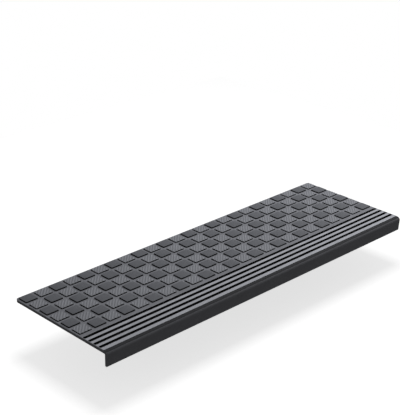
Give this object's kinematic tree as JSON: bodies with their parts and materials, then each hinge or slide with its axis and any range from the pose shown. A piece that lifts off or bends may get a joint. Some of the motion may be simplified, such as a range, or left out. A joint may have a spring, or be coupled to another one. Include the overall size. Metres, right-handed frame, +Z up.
{
  "type": "anti slip stair tread mat",
  "caption": "Moulded rubber mat for one stair tread: chequered plain and ribbed studs, grip grooves and a lip that hangs over the step's nose.",
  "frame": {"origin": "middle of the flat underside, the face that lies on the step's tread", "axes": "+X along the step, +Y towards the riser behind the tread, +Z up; the lip hangs down at the -Y edge"},
  "size_m": [0.75, 0.24, 0.0305],
  "materials": {
    "black_rubber": "matt moulded rubber, finely grained on top, with smooth dark walls, grooves and lip"
  },
  "bodies": {
    "root": {"stair_tread_mat": "black_rubber"}
  },
  "joints": []
}
